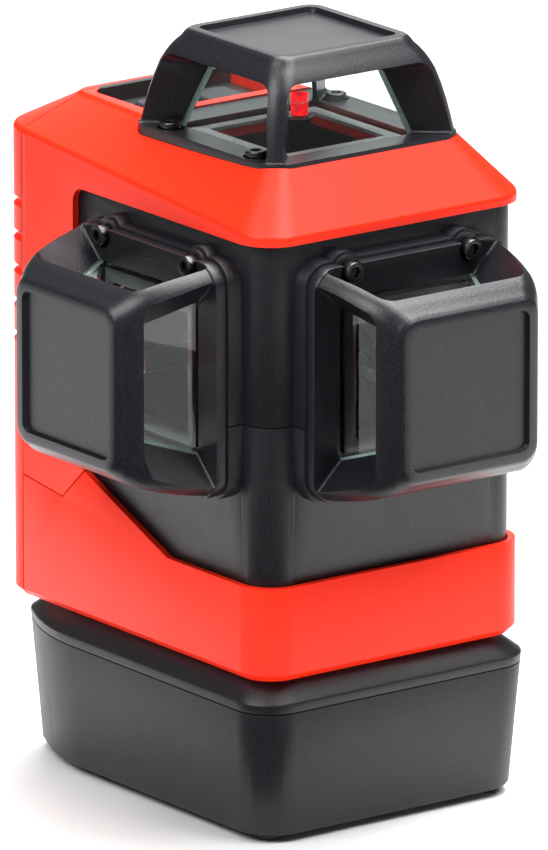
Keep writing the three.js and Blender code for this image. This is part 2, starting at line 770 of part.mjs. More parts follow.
function baseCover() {
  const split = BASE_SPLIT + GAP / 2;
  const outer = loft([
    { z: split, outline: baseOutline(baseGrow(split)) },
    { z: BASE_SHOULDER, outline: baseOutline(BASE_LIP) },
    { z: BASE_TOP, outline: baseOutline(-4.2) },
  ]);
  const inner = loft([
    { z: split - 1, outline: baseOutline(baseGrow(split) - BASE_WALL) },
    { z: BASE_SHOULDER, outline: baseOutline(BASE_LIP - BASE_WALL) },
    { z: BASE_TOP - BASE_WALL, outline: baseOutline(-4.8) },
  ]);
  return cut(outer, inner, rod(9.5, BASE_SPLIT, BASE_TOP + 5));
}

function swivelSpigot() {
  const plateBottom = BASE_TOP - BASE_WALL;
  return turned([
    [0, plateBottom - 3.3],
    [14, plateBottom - 3.3],
    [14, plateBottom - GAP],
    [9.2, plateBottom - GAP],
    [9.2, BASE_TOP],
    [SPIGOT_NECK, BASE_TOP],
    [SPIGOT_NECK, BODY_BOTTOM + 5],
    [0, BODY_BOTTOM + 5],
  ]);
}

function foot() {
  const seat = BASE_BOTTOM - GAP;
  const plugTop = 5.4;
  const profile = [[0, 0], [2.2, 0], [3.6, 0.6], [4.2, seat], [2, seat], [2, plugTop], [0, plugTop]];
  return turned(profile, 10);
}

// ---- Assembly ----
const laser = new THREE.Group();

function add(name, solid, look, parent = laser) {
  const mesh = new THREE.Mesh(geometryOf(solid), look);
  mesh.name = name;
  parent.add(mesh);
  return mesh;
}

add('base_tray', baseTray(), material(CHARCOAL, 0.6, 0));
add('base_cover', baseCover(), material(CHARCOAL, 0.6, 0));
FEET.forEach(([x, y], i) => {
  add(`foot_${i + 1}`, foot(), material(BLACK, 0.9, 0)).position.set(x, y, 0);
});
add('swivel_spigot', swivelSpigot(), material(BLACK, 0.5, 0));

add('lower_band', lowerBand(), material(RED, 0.4, 0));
add('housing_lower', housingLower(), material(CHARCOAL, 0.6, 0));
add('housing_upper', housingUpper(), material(CHARCOAL, 0.6, 0));
add('top_shell', topShell(), material(RED, 0.4, 0));
add('rear_cover', rearCover(), material(RED, 0.4, 0));
add('battery_door', batteryDoor(), material(CHARCOAL, 0.6, 0));
add('battery_pack', batteryPack(), material(BLACK, 0.6, 0));
add('lock_switch', lockSwitch(), material(RED, 0.4, 0));
add('main_board', mainBoard(), material(0x1d5b34, 0.6, 0));

add('keypad_bezel', keypadBezel(), material(BLACK, 0.5, 0));
[['power', -BUTTON.offset], ['lines', BUTTON.offset]].forEach(([use, x]) => {
  const key = add(`button_${use}`, button(), material(0x2a2a2e, 0.8, 0));
  key.position.set(x, BUTTON.y, 0);
});

for (const place of WINDOWS) {
  const station = new THREE.Group();
  station.applyMatrix4(windowMatrix(place));
  laser.add(station);
  add(`${place.name}_cage`, cage(place), material(CHARCOAL, 0.55, 0), station);
  add(`${place.name}_ring`, windowRing(), material(0xc9cbcc, 0.5, 0), station);
  for (let side = 0; side < 4; side++) {
    const glass = add(`${place.name}_pane_${side + 1}`, pane(), material(0xcfe6df, 0.05, 0), station);
    glass.rotation.z = (side * Math.PI) / 2;
  }
  screwPlaces(place).forEach(([u, v], i) => {
    const look = material(0x232326, 0.35, 1);
    const screw = add(`${place.name}_screw_${i + 1}`, cageScrew(), look, station);
    screw.position.set(u, v, 0);
  });
  add(`${place.name}_laser`, laserModule(place), material(0xb08d4a, 0.35, 1), station);
  add(`${place.name}_cone_prism`, conePrism(), material(0xd8303a, 0.05, 0), station);
}

add('gimbal_yoke', gimbalYoke(), material(0x9ea2a6, 0.4, 1));
add('gimbal_ring', gimbalRing(), material(0x9ea2a6, 0.4, 1));
add('pendulum_frame', pendulumFrame(), material(0x8f9397, 0.45, 1));
add('damping_disc', dampingDisc(), material(0xb7773f, 0.4, 1));
add('damping_magnet', dampingMagnet(), material(0x77797c, 0.4, 1));

// The footprint runs from the side cage's plate to the base's right-hand lip, and
// from the front cage's plate to the rear face.
laser.position.set((PLATE_FACE - BASE_LIP) / 2, (HALF + PLATE_FACE - REAR) / 2, 0);
laser.updateMatrixWorld(true);

export default laser;
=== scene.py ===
import json
import math

import bmesh
import bpy
from mathutils import Matrix, Vector


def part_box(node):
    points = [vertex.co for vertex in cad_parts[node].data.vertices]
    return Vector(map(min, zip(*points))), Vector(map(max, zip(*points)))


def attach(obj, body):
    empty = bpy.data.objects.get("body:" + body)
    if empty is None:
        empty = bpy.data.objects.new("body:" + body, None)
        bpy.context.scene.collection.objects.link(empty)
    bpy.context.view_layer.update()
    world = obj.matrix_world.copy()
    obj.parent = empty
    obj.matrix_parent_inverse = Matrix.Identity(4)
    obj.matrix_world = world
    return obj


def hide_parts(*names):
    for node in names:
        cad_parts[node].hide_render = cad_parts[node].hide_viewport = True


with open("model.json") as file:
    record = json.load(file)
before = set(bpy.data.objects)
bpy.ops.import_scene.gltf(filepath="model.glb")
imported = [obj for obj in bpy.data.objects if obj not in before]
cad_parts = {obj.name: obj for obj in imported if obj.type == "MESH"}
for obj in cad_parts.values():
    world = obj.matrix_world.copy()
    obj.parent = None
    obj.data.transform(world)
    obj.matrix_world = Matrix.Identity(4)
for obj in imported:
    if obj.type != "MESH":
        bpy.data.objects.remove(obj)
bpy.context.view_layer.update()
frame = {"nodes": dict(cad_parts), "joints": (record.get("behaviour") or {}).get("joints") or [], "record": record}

# ---- Frame: shapes are drawn in millimetres about the plumb axis, then placed in metres ----
MM = 0.001
JOINTS = {joint["name"]: joint for joint in frame["joints"]}
PLUMB = Vector((*JOINTS["head_swivel"]["pos_m"][:2], 0))
BODIES = frame["record"]["behaviour"]["bodies"]
BODY_OF = {node: body for body, nodes in BODIES.items() for node in nodes}
SLOT_OF = {part["node"]: part["material_slot"] for part in frame["record"]["subparts"]}


def low(node):
    return (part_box(node)[0] - PLUMB) / MM


def high(node):
    return (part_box(node)[1] - PLUMB) / MM


GAP = 0.3
HALF = high("lower_band").x
REAR = high("rear_cover").y
CORNER = 10.4                 # radius of the upright body corners
CORNER_STEPS = 12             # facets in one of them
SEAM_Y = high("lower_band").y + GAP / 2
SEAM_Z = high("housing_lower").z + GAP / 2
BODY_BOTTOM = low("lower_band").z
DECK = high("top_shell").z
RIM_BOTTOM = 159.3            # lower edge of the top shell
RIM_TOP = 162                 # where the roof slope starts, at the front face
RIM_CLIMB = 9                 # how far the rim climbs from the front face to the rear
BAND_TOP = 68.8               # top edge of the red band on the front
BAND_FLOOR = 2.4
DECK_FRONT = 30               # half width of the deck at its front edge
DECK_REAR_HALF, DECK_REAR_Y = 24, 64.5
RED_WALL = 1.9
ROOF_WALL = 2.4
COVER_WALL = 2.4
HOUSING_INSET = 2.2           # charcoal housing behind the red faces
HOUSING_WALL = 2.4
SPIGOT_NECK = 6
BEYOND = 99                   # clear of the object, for cutting boxes
HOUSING_FLOOR = low("housing_lower").z
HOUSING_TOP = high("housing_upper").z

CROSSING = Vector((0, 0, 122.2))
COLLAR_TOP = 2.3              # housing collar above a window's datum
FLANGE_BOTTOM = COLLAR_TOP + GAP
FLANGE_TOP = 6
FLANGE_HALF = 31.2
FLANGE_CORNER = 6.5
PLATE_FACE = -HALF - low("front_cage").y
TOP_REACH = high("top_cage").z - PLATE_FACE - CROSSING.z
PLATE_RECESS_HALF, PLATE_RECESS_DEPTH = 18.3, 1.4
WELL_HALF = 16.5
SCREW_SEAT = 3.7
SCREW_POCKET = 3.45
SCREW_HEAD, SCREW_HEIGHT, SCREW_SOCKET = 2.75, 3, 1.44
PIN_RADIUS, PIN_BORE = 1.5, 1.8
LOBE_RADIUS = 4
GLASS_FOOT = 23
GLASS_HEAD = 15.2
GLASS_TOP = 26.3
GLASS_THICKNESS = 2.5
GLASS_LEAN = (GLASS_FOOT - GLASS_HEAD) / (GLASS_TOP - FLANGE_BOTTOM)

# Side view of the seam between the top shell and the lower band, as (y, z).
LEG_FRONT = 39
BAND_RISE = (-2, BAND_TOP)
BAND_PEAK = (34.2, 83.7)
LEG_TOE = (44, 74.6)
LEG_HEEL = (SEAM_Y, 76.7)

SCENE = bpy.context.scene


# ---- Meshes, in millimetres ----
def mesh_of(points, faces):
    mesh = bpy.data.meshes.new("work")
    mesh.from_pydata(points, [], faces)
    return mesh


def rounded_outline(corners, steps=9):
    """Points round a convex polygon, anticlockwise. Each corner is (x, y, radius)."""
    points = []
    for i, (x, y, radius) in enumerate(corners):
        corner = Vector((x, y))
        back = (Vector(corners[i - 1][:2]) - corner).normalized()
        ahead = (Vector(corners[(i + 1) % len(corners)][:2]) - corner).normalized()
        half_angle = back.angle(ahead) / 2
        centre = corner + (back + ahead).normalized() * radius / math.sin(half_angle)
        start = corner + back * radius / math.tan(half_angle) - centre
        turn = math.pi - 2 * half_angle
        for step in range(steps + 1):
            spoke = start.copy()
            spoke.rotate(Matrix.Rotation(turn * step / steps, 2))
            points.append(centre + spoke)
    return points


def divided(outline):
    """A four-cornered outline with more points along its straight sides, closest near the corners."""
    shares = (0.02, 0.15, 0.3, 0.45, 0.6, 0.75, 0.88, 0.98)
    points = []
    for i, point in enumerate(outline):
        points.append(point)
        if i % (CORNER_STEPS + 1) == CORNER_STEPS:
            ahead = outline[(i + 1) % len(outline)]
            points += [point.lerp(ahead, share) for share in shares]
    return points


def rounded_rectangle(x0, y0, x1, y1, radius, steps=9):
    corners = [(x0, y0), (x1, y0), (x1, y1), (x0, y1)]
    return rounded_outline([(x, y, radius) for x, y in corners], steps)


def rounded_square(half, radius, steps=9):
    return rounded_rectangle(-half, -half, half, half, radius, steps)


def loft(levels):
    """A closed body through outlines with the same number of points, lowest first.

    A level's height is a number, a function of the point's y, or None where the points have it."""
    count = len(levels[0][1])
    points = []
    for z, outline in levels:
        if z is None:
            points += outline
        else:
            points += [(x, y, z(y) if callable(z) else z) for x, y in outline]
    faces = [tuple(reversed(range(count)))]
    for level in range(len(levels) - 1):
        for i in range(count):
            a = level * count + i
            b = level * count + (i + 1) % count
            faces.append((a, b, b + count, a + count))
    last = (len(levels) - 1) * count
    faces.append(tuple(range(last, last + count)))
    return mesh_of(points, faces)


def prism(outline, z0, z1):
    return loft([(z0, outline), (z1, outline)])


def box(x0, y0, z0, x1, y1, z1):
    return prism([(x0, y0), (x1, y0), (x1, y1), (x0, y1)], z0, z1)


def circle(radius, segments):
    angles = [2 * math.pi * i / segments for i in range(segments)]
    return [(radius * math.cos(angle), radius * math.sin(angle)) for angle in angles]


def rod(radius, z0, z1, segments=40):
    return prism(circle(radius, segments), z0, z1)


def turned(profile, segments=40):
    """A turned solid about Z through (radius, z) points, lowest first, none on the axis."""
    return loft([(z, circle(radius, segments)) for radius, z in profile])


def moved(mesh, matrix):
    mesh.transform(matrix)
    if matrix.determinant() < 0:
        mesh.flip_normals()
    return mesh


def shifted(mesh, x, y, z):
    return moved(mesh, Matrix.Translation((x, y, z)))


def along_x(mesh):
    return moved(mesh, Matrix.Rotation(math.pi / 2, 4, "Y"))


SIDEWAYS = Matrix(((0, 0, 1, 0), (1, 0, 0, 0), (0, 1, 0, 0), (0, 0, 0, 1)))


def across_body(outline):
    """A slab right across the body whose side view is an outline in (y, z)."""
    return moved(prism(outline, -2 * HALF, 2 * HALF), SIDEWAYS)


def combined(base, operation, tools):
    """The base with every tool joined to it, cut from it or kept in common with it."""
    made = [bpy.data.objects.new("work", mesh) for mesh in (base, *tools)]
    for item in made:
        SCENE.collection.objects.link(item)
    for tool in made[1:]:
        modifier = made[0].modifiers.new("boolean", "BOOLEAN")
        modifier.operation = operation
        modifier.solver = "MANIFOLD"
        modifier.object = tool
    graph = bpy.context.evaluated_depsgraph_get()
    result = bpy.data.meshes.new_from_object(made[0].evaluated_get(graph))
    for item in made:
        bpy.data.objects.remove(item)
    return result


def join(base, *tools):
    return combined(base, "UNION", tools)


def cut(base, *tools):
    return combined(base, "DIFFERENCE", tools)


def common(base, *tools):
    return combined(base, "INTERSECT", tools)


def cleaned(mesh):
    """Flat faces made whole again after cutting, slivers removed, and larger faces in triangles."""
    work = bmesh.new()
    work.from_mesh(mesh)
    bmesh.ops.remove_doubles(work, verts=work.verts, dist=0.02)
    bmesh.ops.dissolve_limit(work, angle_limit=math.radians(0.6), verts=work.verts, edges=work.edges)
    bmesh.ops.triangulate(work, faces=[face for face in work.faces if len(face.verts) > 4])
    work.to_mesh(mesh)
    work.free()
    return mesh


def bevelled(mesh, width, segments=2, angle=32):
    item = bpy.data.objects.new("work", mesh)
    SCENE.collection.objects.link(item)
    modifier = item.modifiers.new("edges", "BEVEL")
    modifier.width = width
    modifier.segments = segments
    modifier.limit_method = "ANGLE"
    modifier.angle_limit = math.radians(angle)
    modifier.miter_outer = "MITER_ARC"
    graph = bpy.context.evaluated_depsgraph_get()
    result = bpy.data.meshes.new_from_object(item.evaluated_get(graph))
    bpy.data.objects.remove(item)
    return result


def show(node, mesh, look, edge=0.35, place=None, suffix="shell"):
    """Puts a fine mesh in the scene in place of a CAD node, riding on that node's body.

    An edge of 0 leaves the edges sharp, and None also leaves the mesh just as it was cut."""
    mesh = mesh.copy()
    if edge is not None:
        mesh = cleaned(mesh)
    if edge:
        mesh = bevelled(mesh, edge)
    if place:
        moved(mesh, place)
    mesh.transform(Matrix.Translation(PLUMB) @ Matrix.Scale(MM, 4))
    mesh.shade_smooth()
    mesh.set_sharp_from_angle(angle=math.radians(28))
    mesh.materials.clear()
    mesh.materials.append(look)
    piece = bpy.data.objects.new(f"{node}_{suffix}", mesh)
    SCENE.collection.objects.link(piece)
    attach(piece, BODY_OF[node])
    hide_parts(node)
    return piece


# ---- Materials ----
LOOKS = {}
GRAIN_DEPTH = 0.0001


def new_material(name):
    material = bpy.data.materials.new(name)
    material.use_nodes = True
    LOOKS[name] = material
    return material, material.node_tree.nodes, material.node_tree.links


def noise(nodes, links, scale, detail=3.0):
    where = nodes.new("ShaderNodeTexCoord")
    texture = nodes.new("ShaderNodeTexNoise")
    texture.inputs["Scale"].default_value = scale
    texture.inputs["Detail"].default_value = detail
    texture.inputs["Roughness"].default_value = 0.5
    links.new(where.outputs["Object"], texture.inputs["Vector"])
    return texture.outputs["Fac"]


def ramp(nodes, links, factor, low_value, high_value, start=0.35, end=0.65):
    node = nodes.new("ShaderNodeValToRGB")
    node.color_ramp.elements[0].position = start
    node.color_ramp.elements[0].color = (*low_value, 1)
    node.color_ramp.elements[1].position = end
    node.color_ramp.elements[1].color = (*high_value, 1)
    links.new(factor, node.inputs["Fac"])
    return node.outputs["Color"]


def grained(name, dark, light, rough, grain, bump, metallic=0.0, coat=0.0, gleam=0.5):
    """A moulded or machined surface: broken colour, broken gloss and a fine raised grain."""
    material, nodes, links = new_material(name)
    shader = nodes["Principled BSDF"]
    shader.inputs["Metallic"].default_value = metallic
    shader.inputs["Specular IOR Level"].default_value = gleam
    shader.inputs["Coat Weight"].default_value = coat
    shader.inputs["Coat Roughness"].default_value = 0.25
    fine = noise(nodes, links, grain)
    links.new(ramp(nodes, links, fine, dark, light), shader.inputs["Base Color"])
    broad = noise(nodes, links, grain / 24, 2.0)
    gloss = nodes.new("ShaderNodeMapRange")
    gloss.inputs["To Min"].default_value = rough[0]
    gloss.inputs["To Max"].default_value = rough[1]
    links.new(broad, gloss.inputs["Value"])
    links.new(gloss.outputs["Result"], shader.inputs["Roughness"])
    raised = nodes.new("ShaderNodeBump")
    raised.inputs["Strength"].default_value = bump
    raised.inputs["Distance"].default_value = GRAIN_DEPTH
    links.new(fine, raised.inputs["Height"])
    links.new(raised.outputs["Normal"], shader.inputs["Normal"])
    return material


def glassy(name, colour, rough, painted_glow=0.0):
    """Clear glass or tinted crystal, with an optional painted glow: emission that brightens it, though it is no
    lamp.
    """
    material, nodes, links = new_material(name)
    shader = nodes["Principled BSDF"]
    shader.inputs["Transmission Weight"].default_value = 1.0
    shader.inputs["IOR"].default_value = 1.5
    shader.inputs["Emission Color"].default_value = (*colour, 1)
    shader.inputs["Emission Strength"].default_value = painted_glow
    fine = noise(nodes, links, 900)
    paler = [min(1.0, value * 1.04) for value in colour]
    links.new(ramp(nodes, links, fine, colour, paler), shader.inputs["Base Color"])
    gloss = nodes.new("ShaderNodeMapRange")
    gloss.inputs["To Min"].default_value = rough
    gloss.inputs["To Max"].default_value = rough + 0.02
    links.new(fine, gloss.inputs["Value"])
    links.new(gloss.outputs["Result"], shader.inputs["Roughness"])
    return material


RED = grained("red_plastic", (0.90, 0.021, 0.004), (0.94, 0.028, 0.006), (0.34, 0.42), 1500, 0.10, gleam=0.22)
CHARCOAL = grained(
    "charcoal_plastic", (0.004, 0.004, 0.006), (0.015, 0.015, 0.020), (0.34, 0.44), 2600, 0.5, gleam=0.42)
CAGE = grained(
    "cage_plastic", (0.004, 0.004, 0.006), (0.015, 0.015, 0.020), (0.28, 0.36), 2300, 0.7, gleam=0.48)
BLACK = grained("black_plastic", (0.006, 0.006, 0.006), (0.012, 0.012, 0.013), (0.34, 0.44), 2000, 0.3)
RUBBER = grained("foot_rubber", (0.010, 0.010, 0.010), (0.018, 0.018, 0.018), (0.7, 0.85), 1800, 0.5)
KEYS = grained("key_rubber", (0.022, 0.022, 0.025), (0.034, 0.034, 0.038), (0.55, 0.68), 1600, 0.3)
PALE = grained("pale_plastic", (0.50, 0.51, 0.52), (0.60, 0.61, 0.62), (0.38, 0.46), 1500, 0.15)
OXIDE = grained(
    "black_screw", (0.05, 0.05, 0.053), (0.12, 0.12, 0.125), (0.24, 0.36), 1800, 0.15, metallic=1.0)
BARREL = grained(
    "black_anodised", (0.020, 0.020, 0.023), (0.035, 0.035, 0.040), (0.28, 0.40), 1200, 0.12, metallic=1.0)
grained(
    "cast_aluminium", (0.50, 0.51, 0.53), (0.63, 0.64, 0.66), (0.38, 0.52), 1400, 0.45, metallic=1.0)
grained(
    "damping_copper", (0.66, 0.32, 0.19), (0.78, 0.42, 0.27), (0.24, 0.36), 1100, 0.12, metallic=1.0)
NICKEL = grained(
    "magnet_steel", (0.40, 0.41, 0.42), (0.50, 0.51, 0.52), (0.20, 0.30), 1000, 0.08, metallic=1.0)
grained(
    "circuit_board", (0.012, 0.11, 0.045), (0.02, 0.16, 0.07), (0.26, 0.38), 900, 0.2, coat=0.4)
GLASS = glassy("window_glass", (0.93, 0.985, 0.97), 0.0)
GLASS_EDGE = grained("glass_edge", (0.46, 0.66, 0.60), (0.62, 0.80, 0.75), (0.4, 0.5), 1200, 0.2)
# The red prism's emission is a painted glow that makes it brighter than its lighting would.
PRISM = glassy("prism_glass", (0.80, 0.010, 0.020), 0.05, painted_glow=0.45)

for name, item in frame["nodes"].items():
    item.data.materials.clear()
    item.data.materials.append(LOOKS[SLOT_OF[name]])


# ---- Windows: +Z outward from a datum at the red faces, screws on +Y, and on -Y at the top ----
def window_matrix(out, screw_side, reach):
    across = screw_side.cross(out)
    matrix = Matrix((across, screw_side, out)).transposed().to_4x4()
    matrix.translation = CROSSING + out * reach
    return matrix


X, Y, Z = Vector((1, 0, 0)), Vector((0, 1, 0)), Vector((0, 0, 1))
WINDOWS = {
    "top": window_matrix(Z, X, TOP_REACH),
    "front": window_matrix(-Y, Z, HALF),
    "side": window_matrix(-X, Z, HALF),
}
SCREW_PLACES = {
    "top": [(-18.5, -27), (18.5, -27), (-18.5, 27), (18.5, 27)],
    "front": [(-19, 29.2), (19, 29.2)],
    "side": [(-19, 29.2), (19, 29.2)],
}


def at_screws(name, make):
    return [shifted(make(), u, v, 0) for u, v in SCREW_PLACES[name]]


def lobed_plate(name, grow, z0, z1):
    plate = prism(rounded_square(FLANGE_HALF + grow, FLANGE_CORNER + grow), z0, z1)
    return join(plate, *at_screws(name, lambda: rod(LOBE_RADIUS + grow, z0, z1)))


def window_opening(turn):
    """A side window's opening, wider outside than at the glass, with rounder corners above."""
    def section(bottom, bottom_half, top, top_half, radius, top_radius):
        return rounded_outline([
            (-bottom_half, bottom, radius),
            (bottom_half, bottom, radius),
            (top_half, top, top_radius),
            (-top_half, top, top_radius),
        ], 6)
    cutter = loft([
        (12, section(4.4, 10.8, 20.6, 10.4, 0.8, 0.8)),
        (40, section(6, 36.3, 28.6, 34.4, 1.2, 5.5)),
    ])
    return moved(cutter, Matrix.Rotation(math.radians(turn), 4, "Z") @ SIDEWAYS)


# The outside of a cage, as (height, half width, corner radius) from the flange up.
CAGE_PROFILE = [
    (FLANGE_BOTTOM, FLANGE_HALF, FLANGE_CORNER),
    (FLANGE_TOP - 0.8, FLANGE_HALF, FLANGE_CORNER),
    (FLANGE_TOP - 0.2, 31.0, 6.45),
    (FLANGE_TOP, 30.7, 6.4),
    (10, 30.0, 6.3),
    (14, 29.2, 6.2),
    (18, 28.2, 6.0),
    (22, 27.0, 5.8),
    (24, 26.1, 5.7),
    (26, 25.0, 5.6),
    (27.4, 24.0, 5.5),
    (28.6, 23.0, 5.5),
    (29.4, 22.5, 5.2),
    (30.1, 22.0, 5.0),
    (30.6, 21.4, 4.6),
    (PLATE_FACE, 21.0, 4.2),
]


def cage(name):
    levels = [(z, rounded_square(half, radius)) for z, half, radius in CAGE_PROFILE]
    body = join(loft(levels), *at_screws(name, lambda: rod(LOBE_RADIUS, FLANGE_BOTTOM, SCREW_SEAT)))
    inside = loft([
        (0, rounded_square(GLASS_FOOT + GAP + GLASS_LEAN * FLANGE_BOTTOM, 0.6, 2)),
        (GLASS_TOP + GAP, rounded_square(GLASS_HEAD + GAP - GLASS_LEAN * GAP, 0.6, 2)),
    ])
    recess = loft([
        (PLATE_FACE - PLATE_RECESS_DEPTH, rounded_square(PLATE_RECESS_HALF, 2)),
        (PLATE_FACE + 1, rounded_square(PLATE_RECESS_HALF + 0.8, 2.8)),
    ])
    openings = [window_opening(turn) for turn in (0, 90, 180, 270)]
    pockets = at_screws(name, lambda: rod(SCREW_POCKET, SCREW_SEAT, 12))
    shanks = at_screws(name, lambda: rod(PIN_BORE, 0, 10, 16))
    return cut(body, inside, recess, *openings, *pockets, *shanks)


def pane(turn):
    """One leaning pane with mitred ends; its two ends are separate faces at the end of the list."""
    section = [
        (GLASS_FOOT, FLANGE_BOTTOM),
        (GLASS_FOOT - GLASS_THICKNESS, FLANGE_BOTTOM),
        (GLASS_HEAD - GLASS_THICKNESS, GLASS_TOP),
        (GLASS_HEAD, GLASS_TOP),
    ]
    mitre = 0.2
    points = [(x, side * (x - mitre), z) for side in (1, -1) for x, z in section]
    sides = [(i, (i + 1) % 4, (i + 1) % 4 + 4, i + 4) for i in range(4)]
    faces = [tuple(reversed(face)) for face in sides]
    faces += [(0, 1, 2, 3), (7, 6, 5, 4)]
    return moved(mesh_of(points, faces), Matrix.Rotation(math.radians(turn), 4, "Z"))


def show_pane(node, turn, place):
    piece = show(node, pane(turn), GLASS, edge=0, place=place)
    piece.data.materials.append(GLASS_EDGE)
    for face in list(piece.data.polygons)[4:]:
        face.material_index = 1


def window_ring():
    outer = rounded_square(19.25, 0.8, 4)
    inner = rounded_square(15.65, 0.8, 4)
    return cut(prism(outer, FLANGE_BOTTOM, FLANGE_BOTTOM + 1), prism(inner, 0, FLANGE_BOTTOM + 2))


def cage_screw():
    seat = SCREW_SEAT + GAP
    top = seat + SCREW_HEIGHT
    profile = [(0, seat), (0, top - 0.3), (-0.09, top - 0.1), (-0.3, top)]
    head = turned([(SCREW_HEAD + grow, z) for grow, z in profile])
    shank = rod(PIN_RADIUS, -3, seat + 0.5, 16)
    return cut(join(head, shank), rod(SCREW_SOCKET, top - SCREW_HEIGHT / 2, top + 1, 6))


def show_laser(node, place):
    """The turned barrel, its collar, and a pale nickel ring on the collar's edge that is a painted highlight where
    that edge catches the light.
    """
    back = 8.3 - max(high(node) - low(node))
    barrel = turned([(6, back), (6, -9.4), (5.6, -9), (3, -9), (3, 7.4), (3.2, 7.7), (3.2, 8.2)])
    rim = cut(turned([(3.4, 7.6), (3.6, 7.8), (3.6, 8.1), (3.4, 8.3)]), rod(3.15, 0, 12))
    show(node, barrel, BARREL, edge=0.1, place=place)
    # The pale nickel ring stands in for the edge highlight on the collar: a painted highlight.
    show(node, rim, NICKEL, edge=0, place=place, suffix="rim")


def show_windows():
    screw_mesh = cage_screw()
    for name, place in WINDOWS.items():
        cage_mesh = bevelled(cleaned(cage(name)), 0.3, 3, 24)
        show(f"{name}_cage", cage_mesh, CAGE, edge=0, place=place)
        # The rings are one part, but the side rings take the black plastic and only the top ring the pale one: the
        # black is painted shade for rings that sit in the cages' shadow.
        show(f"{name}_ring", window_ring(), PALE if name == "top" else BLACK, edge=0.15, place=place)
        for side in range(4):
            show_pane(f"{name}_pane_{side + 1}", 90 * side, place)
        for number, (u, v) in enumerate(SCREW_PLACES[name], 1):
            at = place @ Matrix.Translation((u, v, 0))
            show(f"{name}_screw_{number}", screw_mesh, OXIDE, edge=0.12, place=at)
        prism_mesh = turned([(2.3, 8.6), (2.3, 13.9), (0.4, 11.8)])
        show(f"{name}_cone_prism", prism_mesh, PRISM, edge=0.1, place=place)
        show_laser(f"{name}_laser", place)


# ---- Body shells ----
def body_outline(grow, radius=CORNER):
    side = HALF + grow
    return rounded_rectangle(-side, -side, side, REAR + grow, radius, CORNER_STEPS)


def deck_outline(grow, radius):
    """The flat top, narrower at the rear."""
    front = DECK_FRONT + grow
    rear_half = DECK_REAR_HALF + grow
    rear = DECK_REAR_Y + grow
    corners = [(-front, -front), (front, -front), (rear_half, rear), (-rear_half, rear)]
    return rounded_outline([(x, y, radius) for x, y in corners], CORNER_STEPS)


def climbing(z):
    """A rim level's height, which climbs from the front face to the rear."""
    return lambda y: z + RIM_CLIMB * (y + HALF) / (REAR + HALF)


def red_body():
    """The whole outside of the red body, from the chamfered bottom to the deck."""
    levels = [(BODY_BOTTOM, body_outline(-2, CORNER - 2)), (BODY_BOTTOM + 2, body_outline(0))]
    rim = 1.4
    for step in range(5):
        angle = math.radians(60 * step / 4)
        z = RIM_TOP - rim + rim * math.sin(angle) / math.sin(math.radians(60))
        levels.append((climbing(z), body_outline(-0.6 * (1 - math.cos(angle)) / 0.5)))
    brow = 0.9
    foot, head = body_outline(-0.6), deck_outline(brow, 5)
    for share in (0.03, 0.3, 0.7, 0.97):
        points = []
        for a, b in zip(divided(foot), divided(head)):
            low_z = climbing(RIM_TOP)(a.y)
            points.append((*a.lerp(b, share), low_z + (DECK - brow - low_z) * share))
        levels.append((None, points))
    for step in range(5):
        share = step / 4
        z = DECK - brow * (1 - share) ** 1.6
        levels.append((z, deck_outline(brow - (brow + 0.3) * share, 5 - 0.8 * share)))
    return loft([(z, line if z is None else divided(line)) for z, line in levels])


def red_hollow(floor, wall=RED_WALL, roof=ROOF_WALL):
    return loft([
        (floor, body_outline(-wall, CORNER - wall)),
        (RIM_TOP - 0.9, body_outline(-wall, CORNER - wall)),
        (DECK - roof, deck_outline(-1.6, 3)),
    ])


KEYPAD_HALF, KEYPAD_FRONT, KEYPAD_REAR = 21.5, 35.5, 60.2
KEYPAD_PLATE = 173.9
KEYPAD_FLOOR = low("keypad_bezel").z - GAP


def keypad_outline(grow, radius):
    front, half = KEYPAD_FRONT - grow, KEYPAD_HALF + grow
    return rounded_rectangle(-half, front, half, KEYPAD_REAR, radius, 6)


def leg_arc():
    """The rounded corner where the rim's lower edge turns down into the leg."""
    radius = 4
    centre = (LEG_FRONT - radius, RIM_BOTTOM - radius)
    angles = [math.radians(90 - 90 * step / 8) for step in range(9)]
    return [(centre[0] + radius * math.cos(a), centre[1] + radius * math.sin(a)) for a in angles]


def top_shell():
    up = 0.4
    side = [(-2 * HALF, RIM_BOTTOM), *leg_arc(), (LEG_FRONT, BAND_PEAK[1] + 2)]
    side += [(BAND_PEAK[0] + 0.3, BAND_PEAK[1] + up), (LEG_TOE[0], LEG_TOE[1] + up)]
    seam, above = SEAM_Y - GAP / 2, DECK + 20
    side += [(seam, LEG_HEEL[1] + up), (seam, above), (-2 * HALF, above)]
    datum = CROSSING.z + TOP_REACH
    outer = red_body()
    tubs = join(
        box(-34, -34, datum + COLLAR_TOP - ROOF_WALL, 34, 34, DECK),
        box(-24, 33, KEYPAD_FLOOR - 2, 24, SEAM_Y, DECK),
    )
    shell = join(cut(outer.copy(), red_hollow(BODY_BOTTOM - 5)), common(outer, tubs))
    pocket = lobed_plate("top", 0.2, COLLAR_TOP, 12)
    well = box(-WELL_HALF, -WELL_HALF, -4, WELL_HALF, WELL_HALF, 4)
    valley = loft([(KEYPAD_FLOOR, keypad_outline(0, 3)), (DECK + 5, keypad_outline(1, 4))])
    cutters = [moved(cutter, WINDOWS["top"]) for cutter in (pocket, well)]
    return common(cut(shell, *cutters, valley), across_body(side[::-1]))


def lower_band():
    seam = SEAM_Y - GAP / 2
    side = [(-2 * HALF, BODY_BOTTOM - 1), (seam, BODY_BOTTOM - 1), (seam, LEG_HEEL[1])]
    side += [LEG_TOE, BAND_PEAK, BAND_RISE, (-2 * HALF, BAND_TOP)]
    neck = rod(SPIGOT_NECK + GAP, BODY_BOTTOM - 1, BODY_BOTTOM + 5)
    shell = cut(red_body(), red_hollow(BODY_BOTTOM + BAND_FLOOR), neck)
    return common(shell, across_body(side))


